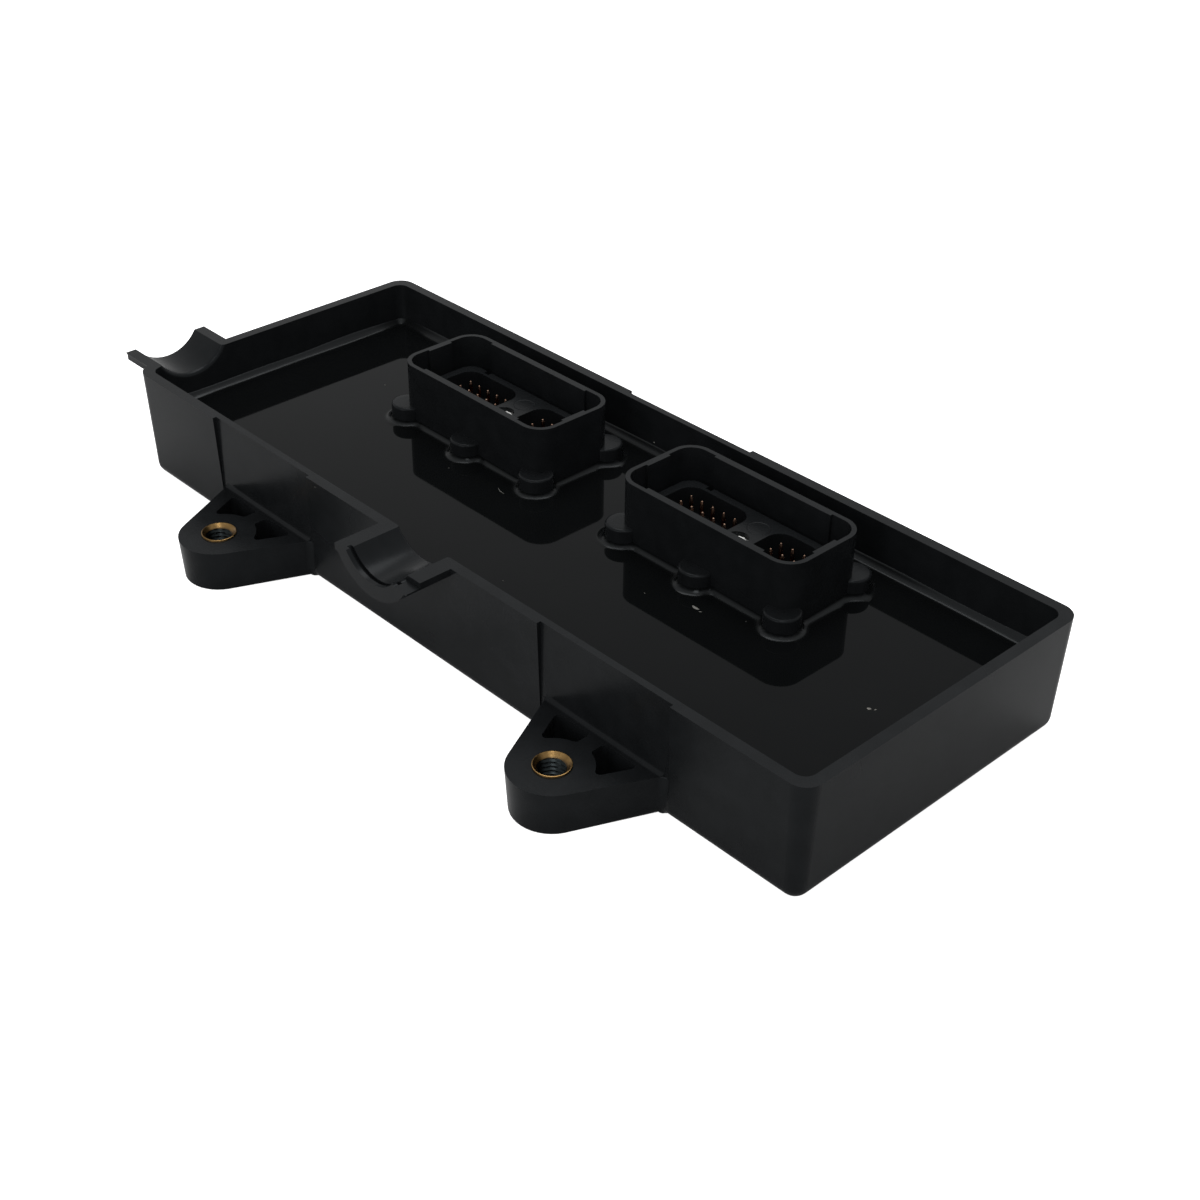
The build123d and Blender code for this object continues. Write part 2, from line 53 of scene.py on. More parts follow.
def plastic_skin(material, colour, pale, grain_size, grain_depth, roughness):
    """Node set of a moulded skin: a noise at grain size makes the bump, a wide noise shifts the
    roughness between two values, and a middle noise mixes the pale colour into the base colour."""
    tree = material.node_tree
    shader = tree.nodes["Principled BSDF"]
    place = tree.nodes.new("ShaderNodeTexCoord")

    def noise(size, detail, name):
        texture = tree.nodes.new("ShaderNodeTexNoise")
        texture.name = name
        texture.inputs["Scale"].default_value = 1 / size
        texture.inputs["Detail"].default_value = detail
        tree.links.new(place.outputs["Object"], texture.inputs["Vector"])
        return texture.outputs["Fac"]

    def spread(value, low, high, from_low=0.35, from_high=0.65):
        ramp = tree.nodes.new("ShaderNodeMapRange")
        ramp.inputs["From Min"].default_value = from_low
        ramp.inputs["From Max"].default_value = from_high
        ramp.inputs["To Min"].default_value = low
        ramp.inputs["To Max"].default_value = high
        tree.links.new(value, ramp.inputs["Value"])
        return ramp.outputs["Result"]

    mix = tree.nodes.new("ShaderNodeMix")
    mix.data_type = "RGBA"
    mix.inputs["A"].default_value = (*colour, 1)
    mix.inputs["B"].default_value = (*pale, 1)
    scuffs = noise(size=0.006, detail=5, name="scuffs")
    tree.links.new(spread(scuffs, 0.0, 1.0), mix.inputs["Factor"])
    tree.links.new(mix.outputs["Result"], shader.inputs["Base Color"])
    flow = noise(size=0.03, detail=3, name="flow")
    tree.links.new(spread(flow, *roughness), shader.inputs["Roughness"])

    grain = tree.nodes.new("ShaderNodeBump")
    grain.inputs["Distance"].default_value = grain_depth
    grain.inputs["Strength"].default_value = 0.6
    tree.links.new(noise(grain_size, 4, "grain"), grain.inputs["Height"])
    tree.links.new(grain.outputs["Normal"], shader.inputs["Normal"])
    return shader


moulded_plastic = new_material("moulded_plastic")
skin = plastic_skin(
    moulded_plastic,
    colour=(0.0058, 0.0064, 0.0069),
    pale=(0.0074, 0.0081, 0.0088),
    grain_size=0.0005,
    grain_depth=0.00003,
    roughness=(0.22, 0.28),
)
cool_shine = (0.90, 0.96, 1.0, 1)
skin.inputs["Specular IOR Level"].default_value = 0.06
skin.inputs["Specular Tint"].default_value = cool_shine
merge_distance, flat_angle, sharp_angle = 0.000002, 0.002, 0.56


def moulding(node, edge_radius):
    """Dressed copy of one moulded solid: its triangles are merged, flat ones joined into whole
    faces, and every edge sharper than 32 degrees is rounded by the tool's radius."""
    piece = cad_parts[node].copy()
    piece.data = piece.data.copy()
    piece.name = node + "_moulding"
    piece.parent = None
    bpy.context.scene.collection.objects.link(piece)
    bpy.context.view_layer.objects.active = piece
    bpy.ops.object.select_all(action="DESELECT")
    piece.select_set(True)
    bpy.ops.object.mode_set(mode="EDIT")
    bpy.ops.mesh.select_all(action="SELECT")
    bpy.ops.mesh.remove_doubles(threshold=merge_distance)
    bpy.ops.mesh.customdata_custom_splitnormals_clear()
    bpy.ops.mesh.dissolve_limited(angle_limit=flat_angle)
    bpy.ops.mesh.mark_sharp(clear=True)
    bpy.ops.object.mode_set(mode="OBJECT")
    rounding = piece.modifiers.new("tool_radius", "BEVEL")
    rounding.limit_method = "ANGLE"
    rounding.angle_limit = sharp_angle
    rounding.width = edge_radius
    rounding.segments = 2
    rounding.use_clamp_overlap = True
    rounding.harden_normals = True
    piece.data.shade_smooth()
    piece.data.materials.clear()
    piece.data.materials.append(moulded_plastic)
    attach(piece, "root")
    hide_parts(node)
    return piece


tray = moulding("tray", edge_radius=0.0005)
moulding("header_shell_left", edge_radius=0.0003)
moulding("header_shell_right", edge_radius=0.0003)

# Screw ears: they are drawn out of the mould upwards, so their sides lean in towards the underside,
# and only a small round runs along the lower edge. Each ear is given by its insert's place and by
# the way it points, in millimetres.
ear_seats = {
    "front_left": ((-69.0, -65.2), 1),
    "front_right": ((69.0, -65.2), 1),
    "back": ((0.0, 65.2), -1),
}
ear_tip_radius, ear_thickness, ear_lean = 11.2, 12.2, 0.7
lower_round, solid_round = 0.5, 2.2
flank_normal = np.array([0.8996, -0.4368])
free_length, root_length = 16.3, 20


def lean_ears(points):
    """Points of the tray, in millimetres, with drafted ears. A point's depth is its distance inside
    the ear's outline, the tip circle or the flank line. Where the solid's lower round runs, depth
    and level shrink to the small round. Then the point moves in by the lean, which grows evenly
    from the ear's top down."""
    for seat, turn in ear_seats.values():
        local = (points[:, :2] - seat) * turn
        side = np.where(local[:, 0] < 0, -1.0, 1.0)
        place = np.stack([np.abs(local[:, 0]), local[:, 1]], -1)
        reach = np.linalg.norm(place, axis=1, keepdims=True)
        at_tip = place[:, 1] * flank_normal[0] < place[:, 0] * flank_normal[1]
        normal = np.where(at_tip[:, None], place / np.maximum(reach, 1e-6), flank_normal)
        depth = ear_tip_radius - (place * normal).sum(1)
        edge = (place[:, 1] < root_length) & (points[:, 2] < ear_thickness + 0.01)
        edge &= (depth < solid_round + 0.05) & (depth > -0.2)
        free = edge & (place[:, 1] < free_length)
        at_round = free & (points[:, 2] < solid_round + 0.01)
        shrink = np.where(at_round, lower_round / solid_round, 1.0)
        lean = ear_lean * (1 - np.clip(points[:, 2] * shrink / ear_thickness, 0, 1))
        shift = depth * (shrink - 1) + lean
        moved = place - normal * shift[:, None]
        at_wall = place - np.stack([lean / flank_normal[0], np.zeros_like(lean)], -1)
        place = np.where(free[:, None], moved, np.where(edge[:, None], at_wall, place))
        points[:, 2] *= shrink
        points[:, :2] = np.stack([place[:, 0] * side, place[:, 1]], -1) * turn + seat
    return points


count = len(tray.data.vertices)
points = np.empty(count * 3)
tray.data.vertices.foreach_get("co", points)
leaned = lean_ears(points.reshape(-1, 3) * 1000) / 1000
tray.data.vertices.foreach_set("co", leaned.ravel())
tray.data.update()

# Root fillets of the ears: the mould has a soft hollow down each corner where an ear's flank runs
# into the upright panel of wall behind it, so the plastic flows into the ear and the corner doesn't
# crack. They are of one moulding with the tray.
def surface(name, grid, material, close_u=False, close_v=False, caps=False):
    """Mesh of a surface given as an array of points [v, u, xyz]; each cell of the grid is a face,
    and caps adds the first and last row as whole faces."""
    rows, columns = grid.shape[:2]
    v, u = np.meshgrid(
        np.arange(rows if close_v else rows - 1),
        np.arange(columns if close_u else columns - 1),
        indexing="ij",
    )
    v2, u2 = (v + 1) % rows, (u + 1) % columns
    corners = [v * columns + u, v * columns + u2, v2 * columns + u2, v2 * columns + u]
    faces = np.stack(corners, -1).reshape(-1, 4).tolist()
    if caps:
        faces.append(list(range(columns - 1, -1, -1)))
        faces.append(list(range((rows - 1) * columns, rows * columns)))
    mesh = bpy.data.meshes.new(name)
    mesh.from_pydata(grid.reshape(-1, 3), [], faces)
    mesh.shade_smooth()
    mesh.set_sharp_from_angle(angle=0.7)
    mesh.materials.append(material)
    piece = bpy.data.objects.new(name, mesh)
    bpy.context.scene.collection.objects.link(piece)
    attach(piece, "root")
    return piece


fillet_radius, fillet_cover, fillet_steps = 2.6, 0.01, 11
panel_round, ear_top_round = 3.5, 0.4
panel_from_seat, root_half_width = 16.38, 20.4
fillet_levels = np.array(
    [0.0, 0.1, 0.3, 0.5, 0.7, 1.5, 2.2, 2.8, 3.5, 7.0, 11.8, 12.0, 12.13, 12.196]
)


def set_back(radius, rise):
    """How far a quarter round of this radius lies back, at a rise from its tangent point: the
    radius less the root of (radius squared - rise squared)."""
    return radius - np.sqrt(radius**2 - rise**2)


def root_fillet(seat, turn, side):
    """Points of one fillet, level by level. At each level the flank and the panel are two lines,
    both drawn back near the underside by the rounds of their lower edges. The arc touches both
    lines, its centre lies on their bisector, and one more point closes the ring inside the
    plastic."""
    level = fillet_levels
    flank_back = set_back(lower_round, np.clip(lower_round - level, 0, None))
    flank_back += ear_lean * (1 - level / ear_thickness)
    panel_back = set_back(panel_round, np.clip(panel_round - level, 0, None))
    top_back = set_back(ear_top_round, np.clip(level - ear_thickness + ear_top_round, 0, 0.399))
    flank = np.array([flank_normal[1], -flank_normal[0]])
    corner_x = root_half_width - (flank_back + flank_normal[1] * panel_back) / flank_normal[0]
    corner = np.stack([corner_x, panel_from_seat + panel_back], -1)
    half_angle = 0.5 * np.arccos(flank[0])
    middle = (flank + (1, 0)) / np.linalg.norm(flank + (1, 0))
    centre = corner + middle * fillet_radius / np.sin(half_angle)
    start = np.arctan2(-flank_normal[1], -flank_normal[0])
    heading = np.linspace(start, np.pi / 2, fillet_steps)
    spokes = np.stack([np.cos(heading), np.sin(heading)], -1)
    reach = (fillet_radius + fillet_cover + top_back)[:, None, None]
    arc = centre[:, None] + reach * spokes
    inside = corner - 0.5 * middle
    ring = np.concatenate([arc, inside[:, None]], 1)
    if side < 0:
        ring = ring[:, ::-1] * (-1, 1)
    height = np.repeat(level, fillet_steps + 1).reshape(-1, fillet_steps + 1, 1)
    return np.concatenate([ring * turn + np.array(seat), height], 2) / 1000


for name, (seat, turn) in ear_seats.items():
    for side, side_name in ((-1, "a"), (1, "b")):
        fillet = surface(
            f"root_fillet_{name}_{side_name}",
            root_fillet(seat, turn, side),
            moulded_plastic,
            close_u=True,
            caps=True,
        )

# Front-left screw lobes: each header is moulded with six lobes of one height for the screws that
# hold it to the board. The solid's lobe ends low at this corner, so this piece stands over it. As a
# full round it also stands, wrongly, in the groove inside the shroud, which cuts the other lobes.
header_centres = {"left": (-0.0462, 0.0201), "right": (0.0462, 0.0201)}
lobe_radius, lobe_top, lobe_edge, solid_cover = 0.005, 0.0258, 0.0008, 0.00002
corner_lobe_x, corner_lobe_y, middle_lobe_y = 0.0286, 0.01335, 0.0145


def turned_profile(centre, profile, steps=64):
    """Points of a profile of (radius, level) pairs turned round an upright axis."""
    turn = np.linspace(0, 2 * np.pi, steps, endpoint=False)
    radius, level = np.array(profile).T
    return np.stack([
        centre[0] + radius[:, None] * np.cos(turn),
        centre[1] + radius[:, None] * np.sin(turn),
        np.repeat(level[:, None], steps, 1),
    ], -1)


def rounded_edge(radius, level, across, up, steps):
    """Points of a quarter ellipse, from the side to the top: the radius plus across times the
    cosine, and the level plus up times the sine."""
    angle = np.radians(np.linspace(0, 90, steps))
    return [(radius + across * np.cos(a), level + up * np.sin(a)) for a in angle]


covered_radius = lobe_radius + solid_cover
lobe_profile = [
    (covered_radius, 0.0190),
    *rounded_edge(covered_radius - lobe_edge, lobe_top - lobe_edge, lobe_edge, lobe_edge, 7),
    (0.003, lobe_top),
    (0.001, lobe_top),
]
for name, (header_x, header_y) in header_centres.items():
    lobe = surface(
        f"front_left_lobe_{name}",
        turned_profile((header_x - corner_lobe_x, header_y - corner_lobe_y), lobe_profile),
        moulded_plastic,
        close_u=True,
        caps=True,
    )

# Ejector mark: the pin that pushed each header out of its mould left a shallow round pad on the
# platform, behind the jackscrew nut and between the long pin pocket and the short one. A fine burr
# stands round its rim.
platform_level, pad_level, burr_height = 0.0313, 0.00003, 0.00007
pad_radius, burr_width = 0.00314, 0.00012
pad_profile = [
    (pad_radius + burr_width, platform_level - 0.00005),
    *rounded_edge(pad_radius, platform_level, burr_width, burr_height, 4),
    (pad_radius - burr_width, platform_level + burr_height),
    (pad_radius - 0.00018, platform_level + pad_level),
    (pad_radius - 0.00021, platform_level + pad_level),
    (0.0010, platform_level + pad_level),
]
for name, (header_x, header_y) in header_centres.items():
    pad = surface(
        f"ejector_mark_{name}",
        turned_profile((header_x + 0.0041, header_y + 0.0038), pad_profile),
        moulded_plastic,
        close_u=True,
        caps=True,
    )

# Threaded inserts: turned brass bushes moulded into the ears, M8 x 1.25 right through, with a wide
# chamfer at each end. They stand half a millimetre proud of the ears.
def turned_metal(material, colour, dull, roughness, line_pitch, line_depth):
    """Node set of a turned metal part: fine rings at the tool's feed make the bump, and a noise
    mixes a duller tint in and shifts the roughness. A wave texture makes one band in each 2 pi / 20
    of its scaled height, so its scale is that over the pitch."""
    tree = material.node_tree
    shader = tree.nodes["Principled BSDF"]
    shader.inputs["Metallic"].default_value = 1.0
    place = tree.nodes.new("ShaderNodeTexCoord")
    cloud = tree.nodes.new("ShaderNodeTexNoise")
    cloud.inputs["Scale"].default_value = 900
    cloud.inputs["Detail"].default_value = 4
    tree.links.new(place.outputs["Object"], cloud.inputs["Vector"])
    mix = tree.nodes.new("ShaderNodeMix")
    mix.data_type = "RGBA"
    mix.inputs["A"].default_value = (*colour, 1)
    mix.inputs["B"].default_value = (*dull, 1)
    tree.links.new(cloud.outputs["Fac"], mix.inputs["Factor"])
    tree.links.new(mix.outputs["Result"], shader.inputs["Base Color"])
    shine = tree.nodes.new("ShaderNodeMapRange")
    shine.inputs["To Min"].default_value = roughness[0]
    shine.inputs["To Max"].default_value = roughness[1]
    tree.links.new(cloud.outputs["Fac"], shine.inputs["Value"])
    tree.links.new(shine.outputs["Result"], shader.inputs["Roughness"])
    rings = tree.nodes.new("ShaderNodeTexWave")
    rings.bands_direction = "Z"
    rings.inputs["Scale"].default_value = 6.283 / 20 / line_pitch
    rings.inputs["Distortion"].default_value = 0.4
    tree.links.new(place.outputs["Object"], rings.inputs["Vector"])
    bump = tree.nodes.new("ShaderNodeBump")
    bump.inputs["Distance"].default_value = line_depth
    tree.links.new(rings.outputs["Fac"], bump.inputs["Height"])
    tree.links.new(bump.outputs["Normal"], shader.inputs["Normal"])
    return shader


def depth_tint(material, shader, colour, start, end):
    """Mixes a second colour into the base colour by height, none at the start level and all of it
    at the end level."""
    tree = material.node_tree
    place = next(n for n in tree.nodes if n.type == "TEX_COORD")
    height = tree.nodes.new("ShaderNodeSeparateXYZ")
    tree.links.new(place.outputs["Object"], height.inputs["Vector"])
    share = tree.nodes.new("ShaderNodeMapRange")
    share.inputs["From Min"].default_value = start
    share.inputs["From Max"].default_value = end
    tree.links.new(height.outputs["Z"], share.inputs["Value"])
    mix = tree.nodes.new("ShaderNodeMix")
    mix.data_type = "RGBA"
    mix.inputs["B"].default_value = (*colour, 1)
    tree.links.new(share.outputs["Result"], mix.inputs["Factor"])
    tree.links.new(shader.inputs["Base Color"].links[0].from_socket, mix.inputs["A"])
    tree.links.new(mix.outputs["Result"], shader.inputs["Base Color"])


turned_brass = new_material("turned_brass")
brass = turned_metal(
    turned_brass,
    colour=(0.225, 0.140, 0.054),
    dull=(0.085, 0.050, 0.018),
    roughness=(0.20, 0.38),
    line_pitch=0.0001,
    line_depth=0.000004,
)
# The dark tint stands for the shade in the bore, which the soft light doesn't give.
depth_tint(turned_brass, brass, colour=(0.014, 0.017, 0.018), start=0.0119, end=0.0113)


def threaded_bush(centre, low, high, outer, core, depth, pitch, chamfer, edge):
    """Points of a bush threaded inside. A profile runs up the outer wall, over the top face, down
    the bore and back under, and is turned round the axis. In the bore the radius is the core radius
    plus depth times a triangle wave of (height / pitch - turn), flattened at its crest, and never
    less than the chamfer cone at each end."""
    turn = np.linspace(0, 2 * np.pi, 96, endpoint=False)
    steps_per_pitch = 12
    height = np.linspace(high, low, int((high - low) / pitch * steps_per_pitch) + 1)
    phase = (height[:, None] / pitch - turn[None, :] / (2 * np.pi)) % 1.0
    tooth = np.clip(1.25 * (1 - np.abs(2 * phase - 1)) - 0.125, 0, 1)
    mouth = core + chamfer
    cone = np.maximum(mouth - (high - height), mouth - (height - low))[:, None]
    bore = np.maximum(core + depth * tooth, cone)
    edge_middle = 0.3 * edge
    profile = np.array([
        (outer - edge, low),
        (outer, low + edge),
        (outer, high - edge),
        (outer - edge_middle, high - edge_middle),
        (outer - edge, high),
    ])
    radius = np.vstack([np.repeat(profile[:, :1], turn.size, 1), bore])
    level = np.concatenate([profile[:, 1], height])
    level = np.repeat(level[:, None], turn.size, 1)
    return np.stack(
        [centre[0] + radius * np.cos(turn), centre[1] + radius * np.sin(turn), level], -1
    )


for node in ("insert_front_left", "insert_front_right", "insert_back"):
    low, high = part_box(node)
    bush = surface(
        node + "_threaded",
        threaded_bush(
            (low + high) / 2,
            low.z,
            high.z,
            outer=0.00485,
            core=0.00332,
            depth=0.00062,
            pitch=0.00125,
            chamfer=0.0013,
            edge=0.00012,
        ),
        turned_brass,
        close_u=True,
        close_v=True,
    )
    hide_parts(node)

# Potting compound: black two-part resin poured level round the headers, cured to a mirror. It
# creeps up every wall and lobe it wets, and the solid underneath keeps the same level.
cast_compound = new_material("cast_compound")
resin = cast_compound.node_tree.nodes["Principled BSDF"]
resin.inputs["Specular Tint"].default_value = cool_shine
tree = cast_compound.node_tree
shine = tree.nodes.new("ShaderNodeAttribute")
shine.attribute_name = "shine"
tree.links.new(shine.outputs["Fac"], resin.inputs["Specular IOR Level"])
place = tree.nodes.new("ShaderNodeTexCoord")
haze = tree.nodes.new("ShaderNodeTexNoise")
haze.inputs["Scale"].default_value = 60
haze.inputs["Detail"].default_value = 5
tree.links.new(place.outputs["Object"], haze.inputs["Vector"])
tint = tree.nodes.new("ShaderNodeMix")
tint.data_type = "RGBA"
tint.inputs["A"].default_value = (0.0022, 0.0025, 0.0026, 1)
tint.inputs["B"].default_value = (0.0032, 0.0035, 0.0037, 1)
tree.links.new(haze.outputs["Fac"], tint.inputs["Factor"])
tree.links.new(tint.outputs["Result"], resin.inputs["Base Color"])
gloss = tree.nodes.new("ShaderNodeMapRange")
gloss.inputs["To Min"].default_value = -0.085
gloss.inputs["To Max"].default_value = -0.045
tree.links.new(haze.outputs["Fac"], gloss.inputs["Value"])
skinned = tree.nodes.new("ShaderNodeMath")
skinned.operation = "MULTIPLY_ADD"
skinned.inputs[1].default_value = 2.4
tree.links.new(shine.outputs["Fac"], skinned.inputs[0])
tree.links.new(gloss.outputs["Result"], skinned.inputs[2])
tree.links.new(skinned.outputs["Value"], resin.inputs["Roughness"])
waves = tree.nodes.new("ShaderNodeTexNoise")
waves.inputs["Scale"].default_value = 45
waves.inputs["Detail"].default_value = 1
tree.links.new(place.outputs["Object"], waves.inputs["Vector"])
level_bump = tree.nodes.new("ShaderNodeBump")
level_bump.inputs["Distance"].default_value = 0.00004
level_bump.inputs["Strength"].default_value = 0.5
tree.links.new(waves.outputs["Fac"], level_bump.inputs["Height"])
tree.links.new(level_bump.outputs["Normal"], resin.inputs["Normal"])

compound_level = 0.0206
tray_inside = {"half_x": 0.12839, "half_y": 0.04639, "corner": 0.0030}
header_base = {"half_x": 0.031, "half_y": 0.0145, "corner": 0.0066}
wall_climb, wall_reach, unevenness = 0.0019, 0.0038, 0.16
lobe_climb, lobe_reach, corner_fill = 0.0013, 0.0028, 0.0016
level_shine, creep_shine = 0.044, 0.16
foot_fade, foot_fade_start, foot_fade_span = 1.36, 0.42, 0.25


def rounded_box_distance(x, y, half_x, half_y, corner):
    """Distance outside a rectangle with round corners, negative inside it."""
    qx, qy = np.abs(x) - (half_x - corner), np.abs(y) - (half_y - corner)
    outside = np.hypot(np.maximum(qx, 0), np.maximum(qy, 0))
    return outside + np.minimum(np.maximum(qx, qy), 0) - corner


def header_distance(x, y):
    """Distance outside a header's base: its rounded rectangle and six lobes, with the inner corners
    between them filled by a smooth minimum, as a liquid fills them."""
    nearest = rounded_box_distance(x, y, **header_base)
    for side in (-1, 1):
        for lobe_x, lobe_y in (
            (-corner_lobe_x, corner_lobe_y), (0.0, middle_lobe_y), (corner_lobe_x, corner_lobe_y)
        ):
            lobe = np.hypot(x - lobe_x, y - side * lobe_y) - lobe_radius
            blend = np.maximum(corner_fill - np.abs(nearest - lobe), 0) / corner_fill
            nearest = np.minimum(nearest, lobe) - corner_fill / 4 * blend**2
    return nearest


def compound_creep(x, y):
    """Height of the creep at the tray's wall and round both headers, and its share of shine. Each
    creep is its climb times (1 - distance / reach) cubed, a little uneven along the wall. The shine
    comes in over the first part of the rise. On the steep foot of a header it goes again, which
    stands for the dark the foot mirrors there."""
    uneven = 1 + unevenness * np.sin(95 * x + 40 * y) * np.sin(130 * y - 37 * x)
    wall = -rounded_box_distance(x, y, **tray_inside)
    rise = np.clip(1 - wall / wall_reach, 0, 1) ** 3
    height = wall_climb * uneven * rise
    bright = np.clip(3 * rise, 0, 1)
    for centre_x, centre_y in header_centres.values():
        base = np.clip(header_distance(x - centre_x, y - centre_y), 0, None)
        rise = np.clip(1 - base / lobe_reach, 0, 1) ** 3
        height = height + lobe_climb * uneven * rise
        fade = foot_fade * np.clip((rise - foot_fade_start) / foot_fade_span, 0, 1)
        bright = np.where(rise > 0, np.clip(6 * rise, 0, 1) - fade, bright)
    return height, bright


def marks(*spans):
    """Grid lines of one direction: each span is (start, end, step), in millimetres."""
    lines = [np.arange(start, end, step) for start, end, step in spans]
    return np.concatenate([*lines, [spans[-1][1]]]) / 1000


wall_step, header_step = 0.26, 0.4
lines_x = marks(
    (-128.6, -123.4, wall_step),
    (-123.4, -83.4, 4.0),
    (-83.4, -9.0, header_step),
    (-9.0, 9.0, 2.25),
    (9.0, 83.4, header_step),
    (83.4, 123.4, 4.0),
    (123.4, 128.6, wall_step),
)
lines_y = marks(
    (-46.6, -41.4, wall_step),
    (-41.4, -3.0, 3.2),
    (-3.0, 41.4, header_step),
    (41.4, 46.6, wall_step),
)
x, y = np.meshgrid(lines_x, lines_y)
creep, bright = compound_creep(x, y)
poured_level = compound_level + creep + solid_cover
poured_top = surface("compound_surface", np.stack([x, y, poured_level], -1), cast_compound)
shine = (level_shine + (creep_shine - level_shine) * bright).ravel()
poured_top.data.attributes.new("shine", "FLOAT", "POINT").data.foreach_set("value", shine)


def finish_solid(node, material):
    """Gives one CAD node its finish and leaves its mesh alone."""
    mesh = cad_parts[node].data
    mesh.materials.clear()
    mesh.materials.append(material)


finish_solid("potting_compound", cast_compound)

# Dust: a few pale flakes and fibres that settled on the compound and walls while it was handled.
# Each is given by its centre, heading in degrees, length, width, height and bend, in millimetres.
dust_grey = new_material("dust_grey")
dusty = plastic_skin(
    dust_grey,
    colour=(0.10, 0.10, 0.095),
    pale=(0.17, 0.165, 0.15),
    grain_size=0.0002,
    grain_depth=0.00005,
    roughness=(0.8, 0.95),
)
dusty.inputs["Specular IOR Level"].default_value = 0.1


def flake(centre, heading, length, width, height, bend):
    """Points of one flake: an ellipse carried along a bent line. At share s of the line, from -1 to
    1, its width and height shrink with the root of 1 - s squared."""
    share = np.linspace(-0.98, 0.98, 9)[:, None]
    size = np.sqrt(1 - share**2)
    around = np.radians(np.arange(0, 360, 45))[None, :]
    along = share * length / 2
    across = size * np.cos(around) * width / 2 + bend * share**2
    turn = np.radians(heading)
    return np.stack([
        centre[0] + along * np.cos(turn) - across * np.sin(turn),
        centre[1] + along * np.sin(turn) + across * np.cos(turn),
        centre[2] + size * np.sin(around) * height / 2,
    ], -1) / 1000


for number, speck in enumerate((
    ((54.3, -3.1, 20.7), -3, 2.5, 0.8, 0.25, 0.2),
    ((56.4, -3.4, 20.66), 40, 0.8, 0.3, 0.1, 0.0),
    ((111.4, -3.2, 20.7), 30, 1.1, 0.8, 0.3, 0.1),
    ((112.6, -2.3, 20.66), 80, 0.7, 0.25, 0.1, 0.05),
    ((-23.2, -1.7, 20.64), -14, 3.7, 0.18, 0.08, 0.3),
    ((-42.8, -4.1, 20.65), 60, 0.4, 0.14, 0.1, 0.0),
    ((40.8, -7.9, 20.65), 20, 0.4, 0.14, 0.1, 0.0),
    ((67.1, 2.0, 20.65), -50, 0.4, 0.12, 0.1, 0.0),
    ((-96.0, 14.0, 20.65), 15, 0.5, 0.12, 0.1, 0.1),
    ((12.0, -31.0, 20.65), 70, 0.4, 0.12, 0.1, 0.0),
    ((-10.8, 46.55, 23.4), 10, 0.7, 0.4, 0.4, 0.0),
    ((-42.6, -49.95, 32.4), 0, 0.4, 0.18, 0.2, 0.0),
)):
    surface(f"dust_{number}", flake(*speck), dust_grey, close_u=True, caps=True)

# Contact pins: square drawn wire, copper alloy plated with gold, coined to a blunt bright tip.
# Fifteen stand in the long pocket and nine in the short one of each header, and the left header's
# are a little deeper in it.
pin_plating = new_material("pin_plating")
plating = turned_metal(
    pin_plating,
    colour=(0.60, 0.42, 0.32),
    dull=(0.40, 0.22, 0.14),
    roughness=(0.22, 0.40),
    line_pitch=0.0004,
    line_depth=0.000002,
)
# The red-brown tint stands for the dark pocket that the foot of a pin mirrors.
depth_tint(pin_plating, plating, colour=(0.20, 0.036, 0.010), start=0.0292, end=0.0280)
pin_pitch, pin_foot = 0.004, 0.0076
pin_fields = ((-0.0124, 5), (0.016, 3))
pin_tips = {"left": 0.0297, "right": 0.0305}
coining_depths = np.array([0.9, 0.6, 0.3, 0.1, 0.0]) / 1000
half_widths = np.array([0.4, 0.4, 0.335, 0.25, 0.19, 0.08]) / 1000


def pin_field(centre, tip):
    """Corner arrays of all pins of one header. A pin's section is a square with clipped corners,
    carried up its axis: full size below the coined tip, then narrowing in steps to a blunt end."""
    places = np.array([
        (field_x + (column - (columns - 1) / 2) * pin_pitch, row * pin_pitch)
        for field_x, columns in pin_fields
        for column in range(columns)
        for row in (-1, 0, 1)
    ])
    corner = 45 + 90 * np.arange(4)
    turn = np.radians(np.stack([corner - 7, corner + 7], -1).ravel())
    section = np.stack([np.cos(turn), np.sin(turn)], -1)
    section /= np.abs(section).max(1, keepdims=True)
    levels = np.concatenate([[pin_foot], tip - coining_depths])
    ring = section[None, :, :] * half_widths[:, None, None]
    grid = np.empty((len(places), len(levels), len(turn), 3))
    grid[..., :2] = ring[None] + (places + np.array(centre))[:, None, None, :]
    grid[..., 2] = levels[None, :, None]
    return grid


for name, centre in header_centres.items():
    node = f"contact_pins_{name}"
    grid = pin_field(centre, pin_tips[name])
    pins, rows, columns = grid.shape[:3]
    first = np.arange(pins)[:, None, None] * rows * columns
    v, u = np.meshgrid(np.arange(rows - 1), np.arange(columns), indexing="ij")
    low_left, low_right = v * columns + u, v * columns + (u + 1) % columns
    side = np.stack([low_left, low_right, low_right + columns, low_left + columns], -1)
    sides = (side.reshape(1, -1, 4) + first).reshape(-1, 4)
    ring = np.arange(columns)[None, :]
    tops = (ring + (rows - 1) * columns + first[:, 0]).reshape(-1, columns)
    ends = (ring[:, ::-1] + first[:, 0]).reshape(-1, columns)
    faces = sides.tolist() + tops.tolist() + ends.tolist()
    mesh = bpy.data.meshes.new(node + "_plated")
    mesh.from_pydata(grid.reshape(-1, 3), [], faces)
    mesh.materials.append(pin_plating)
    piece = bpy.data.objects.new(node + "_plated", mesh)
    bpy.context.scene.collection.objects.link(piece)
    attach(piece, "root")
    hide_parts(node)

